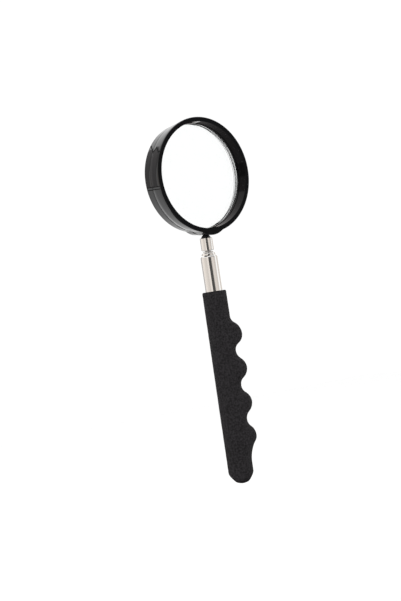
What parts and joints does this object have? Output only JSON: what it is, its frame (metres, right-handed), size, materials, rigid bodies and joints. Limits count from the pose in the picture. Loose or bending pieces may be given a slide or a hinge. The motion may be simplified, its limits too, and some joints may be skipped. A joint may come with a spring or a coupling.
{
  "type": "telescoping inspection mirror",
  "caption": "Round mirror in a lobed hoop on a tilting ball joint and swivel, with a telescoping chrome stem and a foam finger grip.",
  "frame": {"origin": "on the handle's axis, in the middle of the straight round tail of the grip", "axes": "+Z along the handle towards the mirror, -Y out of the mirror's face, +X across the hoop; the finger bumps of the grip point 39.1 degrees from +X towards -Y"},
  "size_m": [0.0576, 0.0161, 0.1825],
  "materials": {
    "hoop_plastic": "gloss",
    "shell_plastic": "gloss",
    "clear_glass": "polished",
    "silver": "mirror",
    "pad_foam": "matte",
    "grip_foam": "matte",
    "chromed_brass": "polished",
    "ferrule_chrome": "polished",
    "spring_bronze": "satin",
    "bright_steel": "satin",
    "black_steel": "satin",
    "seat_plastic": "matte",
    "plug_plastic": "gloss"
  },
  "bodies": {
    "handle": {"foam_grip": "grip_foam", "base_plug": "plug_plastic", "outer_tube": "chromed_brass"},
    "section_2": {"tube_section_2": "chromed_brass", "friction_sleeve_2": "spring_bronze"},
    "section_3": {"tube_section_3": "chromed_brass", "friction_sleeve_3": "spring_bronze"},
    "section_4": {"tube_section_4": "chromed_brass", "friction_sleeve_4": "spring_bronze"},
    "rod": {"inner_rod": "chromed_brass", "friction_sleeve_rod": "spring_bronze", "swivel_stem": "bright_steel"},
    "ferrule": {"swivel_ferrule": "ferrule_chrome", "ball_seat": "seat_plastic", "spring_washer": "bright_steel"},
    "head": {"ball_stud": "black_steel", "stud_bracket": "black_steel", "bracket_screws": "bright_steel", "bezel_ring": "hoop_plastic", "back_shell": "shell_plastic", "mirror_glass": "clear_glass", "silver_backing": "silver", "mirror_pad": "pad_foam"}
  },
  "joints": [
    {"name": "section_2_slide", "type": "slide", "parent": "handle", "child": "section_2", "axis": [0, 0, 1], "range_m": [0, 0.092]},
    {"name": "section_3_slide", "type": "slide", "parent": "section_2", "child": "section_3", "axis": [0, 0, 1], "range_m": [0, 0.092]},
    {"name": "section_4_slide", "type": "slide", "parent": "section_3", "child": "section_4", "axis": [0, 0, 1], "range_m": [0, 0.092]},
    {"name": "rod_slide", "type": "slide", "parent": "section_4", "child": "rod", "axis": [0, 0, 1], "range_m": [0, 0.092]},
    {"name": "head_swivel", "type": "hinge", "parent": "rod", "child": "ferrule", "pos_m": [0, 0, 0.1118], "axis": [0, 0, 1], "continuous": true},
    {"name": "head_tilt", "type": "hinge", "parent": "ferrule", "child": "head", "pos_m": [0, 0, 0.1118], "axis": [1, 0, 0], "range_deg": [-45, 45]}
  ]
}
